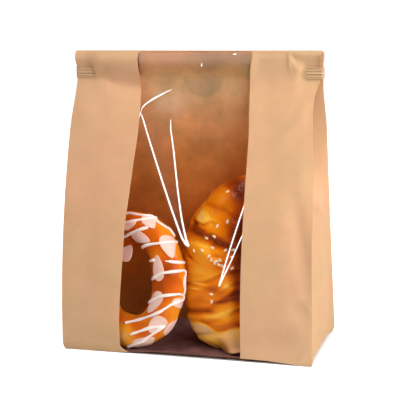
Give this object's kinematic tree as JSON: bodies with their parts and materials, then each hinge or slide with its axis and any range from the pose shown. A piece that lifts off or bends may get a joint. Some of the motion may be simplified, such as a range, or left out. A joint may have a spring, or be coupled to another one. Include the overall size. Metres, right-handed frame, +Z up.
{
  "type": "paper bread bag",
  "caption": "Standing kraft paper bread bag with a clear front window and a folded top held by a tin tie, with an almond ring bread and a glazed croissant inside.",
  "frame": {"origin": "under the middle of the bag, on the plane that its base stands on", "axes": "+Z up the bag, -Y out of the window, +X to the right as seen from the window side"},
  "size_m": [0.22, 0.1092, 0.255],
  "materials": {
    "kraft_paper": "matt, slightly fibrous",
    "clear_film": "clear, glossy, creased",
    "tie_paper": "matt, ribbed",
    "glazed_bread": "baked crust under a thin glaze, with almond flakes and white icing",
    "glazed_pastry": "golden flaky crust under a thin glaze, with sesame seeds"
  },
  "bodies": {
    "root": {"paper_bag": "kraft_paper", "window_film": "clear_film", "tin_tie": "tie_paper", "ring_bread": "glazed_bread", "croissant": "glazed_pastry"}
  },
  "joints": []
}
